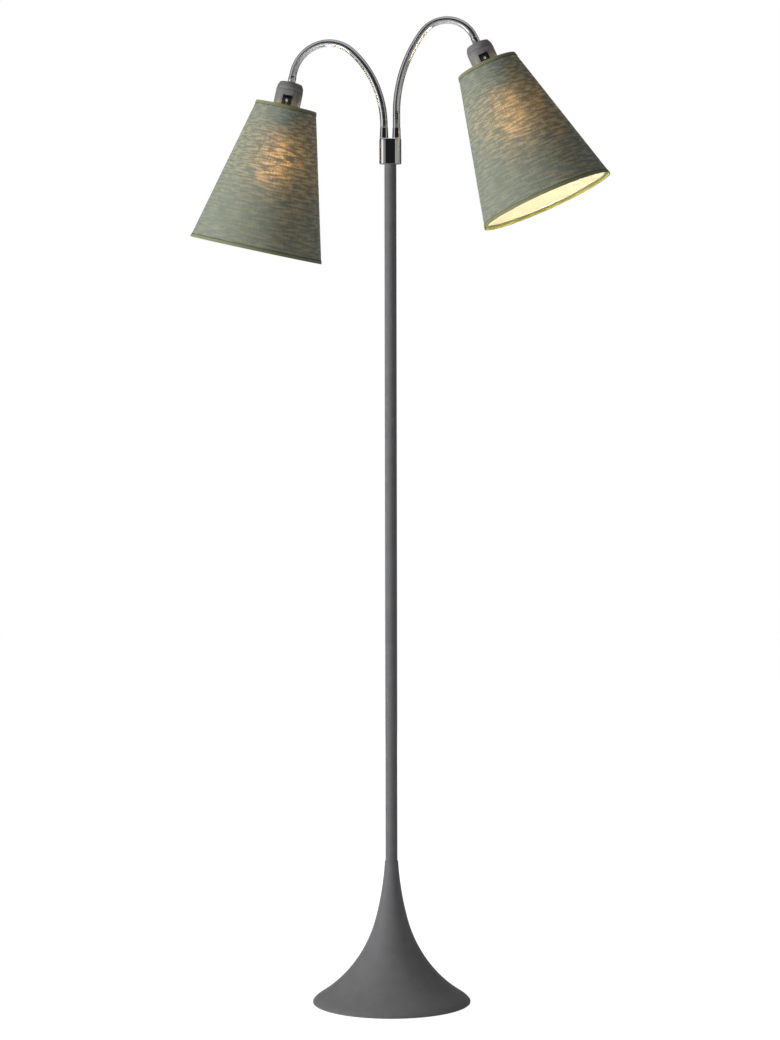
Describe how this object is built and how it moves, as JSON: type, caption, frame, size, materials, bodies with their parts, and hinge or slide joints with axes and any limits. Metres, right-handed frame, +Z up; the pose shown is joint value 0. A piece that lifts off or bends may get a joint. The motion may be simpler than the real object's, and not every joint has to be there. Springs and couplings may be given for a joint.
{
  "type": "floor lamp",
  "caption": "Floor lamp with a weighted trumpet base, a slim column and two flexible goosenecks, each with a switched lampholder and a conical linen shade.",
  "frame": {"origin": "middle of the felt pad's underside, on the floor, on the column's axis", "axes": "+Z up along the column; -Y towards the viewer of the picture, +X to the viewer's right"},
  "size_m": [0.6308, 0.2999, 1.4765],
  "materials": {
    "grey_paint": "satin",
    "chrome": "polished",
    "grey_plastic": "satin",
    "black_plastic": "gloss",
    "shade_linen": "matte",
    "shade_tape": "matte",
    "steel": "satin",
    "cast_iron": "matte",
    "brass": "satin",
    "ceramic_core": "satin",
    "bulb_glass": "gloss",
    "felt": "matte"
  },
  "bodies": {
    "stand": {"base_bell": "grey_paint", "base_weight": "cast_iron", "base_pad": "felt", "tie_rod": "steel", "base_nut": "steel", "cord_grommet": "black_plastic", "column_tube": "grey_paint", "column_foot_plug": "steel", "column_top_plug": "steel", "collar_stud": "steel", "collar_sleeve": "chrome", "collar_bridge": "steel", "left_ferrule": "chrome", "right_ferrule": "chrome"},
    "left_link_1": {"left_gooseneck_1": "chrome"},
    "left_link_2": {"left_gooseneck_2": "chrome"},
    "left_link_3": {"left_gooseneck_3": "chrome"},
    "left_link_4": {"left_gooseneck_4": "chrome"},
    "left_link_5": {"left_gooseneck_5": "chrome"},
    "left_link_6": {"left_gooseneck_6": "chrome"},
    "left_head": {"left_end_sleeve": "chrome", "left_holder_cap": "grey_plastic", "left_holder_body": "grey_plastic", "left_rocker_bezel": "black_plastic", "left_holder_core": "ceramic_core", "left_socket_contacts": "brass", "left_bulb_cap": "brass", "left_bulb_glass": "bulb_glass", "left_shade_fabric": "shade_linen", "left_shade_trim": "shade_tape", "left_shade_frame": "steel", "left_lock_ring": "grey_plastic"},
    "left_switch": {"left_rocker": "black_plastic"},
    "right_link_1": {"right_gooseneck_1": "chrome"},
    "right_link_2": {"right_gooseneck_2": "chrome"},
    "right_link_3": {"right_gooseneck_3": "chrome"},
    "right_link_4": {"right_gooseneck_4": "chrome"},
    "right_link_5": {"right_gooseneck_5": "chrome"},
    "right_link_6": {"right_gooseneck_6": "chrome"},
    "right_head": {"right_end_sleeve": "chrome", "right_holder_cap": "grey_plastic", "right_holder_body": "grey_plastic", "right_rocker_bezel": "black_plastic", "right_holder_core": "ceramic_core", "right_socket_contacts": "brass", "right_bulb_cap": "brass", "right_bulb_glass": "bulb_glass", "right_shade_fabric": "shade_linen", "right_shade_trim": "shade_tape", "right_shade_frame": "steel", "right_lock_ring": "grey_plastic"},
    "right_switch": {"right_rocker": "black_plastic"}
  },
  "joints": [
    {"name": "left_bend_1", "type": "hinge", "parent": "stand", "child": "left_link_1", "pos_m": [-0.00937, 0, 1.3124], "axis": [-0.289, -0.9573, 0], "range_deg": [-3, 0.6]},
    {"name": "left_sway_1", "type": "hinge", "parent": "left_link_1", "child": "left_link_2", "pos_m": [-0.01455, 0.00156, 1.35356], "axis": [0.924, -0.279, 0.2617], "range_deg": [-12, 12]},
    {"name": "left_bend_2", "type": "hinge", "parent": "left_link_2", "child": "left_link_3", "pos_m": [-0.02999, 0.00622, 1.39181], "axis": [-0.289, -0.9573, 0], "range_deg": [-15, 3]},
    {"name": "left_sway_2", "type": "hinge", "parent": "left_link_3", "child": "left_link_4", "pos_m": [-0.0546, 0.01365, 1.42441], "axis": [0.6656, -0.2009, 0.7188], "range_deg": [-12, 12]},
    {"name": "left_bend_3", "type": "hinge", "parent": "left_link_4", "child": "left_link_5", "pos_m": [-0.0898, 0.02428, 1.44195], "axis": [-0.289, -0.9573, 0], "range_deg": [-15, 3]},
    {"name": "left_sway_3", "type": "hinge", "parent": "left_link_5", "child": "left_link_6", "pos_m": [-0.12714, 0.03556, 1.43032], "axis": [-0.5856, 0.1768, 0.7911], "range_deg": [-12, 12]},
    {"name": "left_bend_4", "type": "hinge", "parent": "left_link_6", "child": "left_head", "pos_m": [-0.14737, 0.04166, 1.39551], "axis": [-0.289, -0.9573, 0], "range_deg": [-15, 3]},
    {"name": "left_switch_rock", "type": "hinge", "parent": "left_head", "child": "left_switch", "pos_m": [-0.1567, 0.02764, 1.35262], "axis": [-0.9772, 0, 0.2125], "range_deg": [0, 16]},
    {"name": "right_bend_1", "type": "hinge", "parent": "stand", "child": "right_link_1", "pos_m": [0.00937, 0, 1.3124], "axis": [0.165, 0.9863, 0], "range_deg": [-3, 0.6]},
    {"name": "right_sway_1", "type": "hinge", "parent": "right_link_1", "child": "right_link_2", "pos_m": [0.0103, -0.00015, 1.35287], "axis": [-0.9816, 0.1643, 0.0969], "range_deg": [-12, 12]},
    {"name": "right_bend_2", "type": "hinge", "parent": "right_link_2", "child": "right_link_3", "pos_m": [0.01816, -0.00147, 1.39251], "axis": [0.165, 0.9863, 0], "range_deg": [-15, 3]},
    {"name": "right_sway_2", "type": "hinge", "parent": "right_link_3", "child": "right_link_4", "pos_m": [0.03371, -0.00407, 1.42974], "axis": [-0.8646, 0.1447, 0.4812], "range_deg": [-12, 12]},
    {"name": "right_bend_3", "type": "hinge", "parent": "right_link_4", "child": "right_link_5", "pos_m": [0.05743, -0.00804, 1.46198], "axis": [0.165, 0.9863, 0], "range_deg": [-15, 3]},
    {"name": "right_sway_3", "type": "hinge", "parent": "right_link_5", "child": "right_link_6", "pos_m": [0.09535, -0.01439, 1.46959], "axis": [0.2419, -0.0405, 0.9695], "range_deg": [-12, 12]},
    {"name": "right_bend_4", "type": "hinge", "parent": "right_link_6", "child": "right_head", "pos_m": [0.12514, -0.01937, 1.44461], "axis": [0.165, 0.9863, 0], "range_deg": [-15, 3]},
    {"name": "right_switch_rock", "type": "hinge", "parent": "right_head", "child": "right_switch", "pos_m": [0.14184, -0.039, 1.40643], "axis": [-0.9163, 0, -0.4005], "range_deg": [0, 16]}
  ],
  "couplings": [
    {"joint": "left_bend_1", "follows": "left_bend_2", "ratio": 0.2},
    {"joint": "left_sway_2", "follows": "left_sway_1", "ratio": 1},
    {"joint": "left_bend_3", "follows": "left_bend_2", "ratio": 1},
    {"joint": "left_sway_3", "follows": "left_sway_1", "ratio": 1},
    {"joint": "left_bend_4", "follows": "left_bend_2", "ratio": 1},
    {"joint": "right_bend_1", "follows": "right_bend_2", "ratio": 0.2},
    {"joint": "right_sway_2", "follows": "right_sway_1", "ratio": 1},
    {"joint": "right_bend_3", "follows": "right_bend_2", "ratio": 1},
    {"joint": "right_sway_3", "follows": "right_sway_1", "ratio": 1},
    {"joint": "right_bend_4", "follows": "right_bend_2", "ratio": 1}
  ]
}
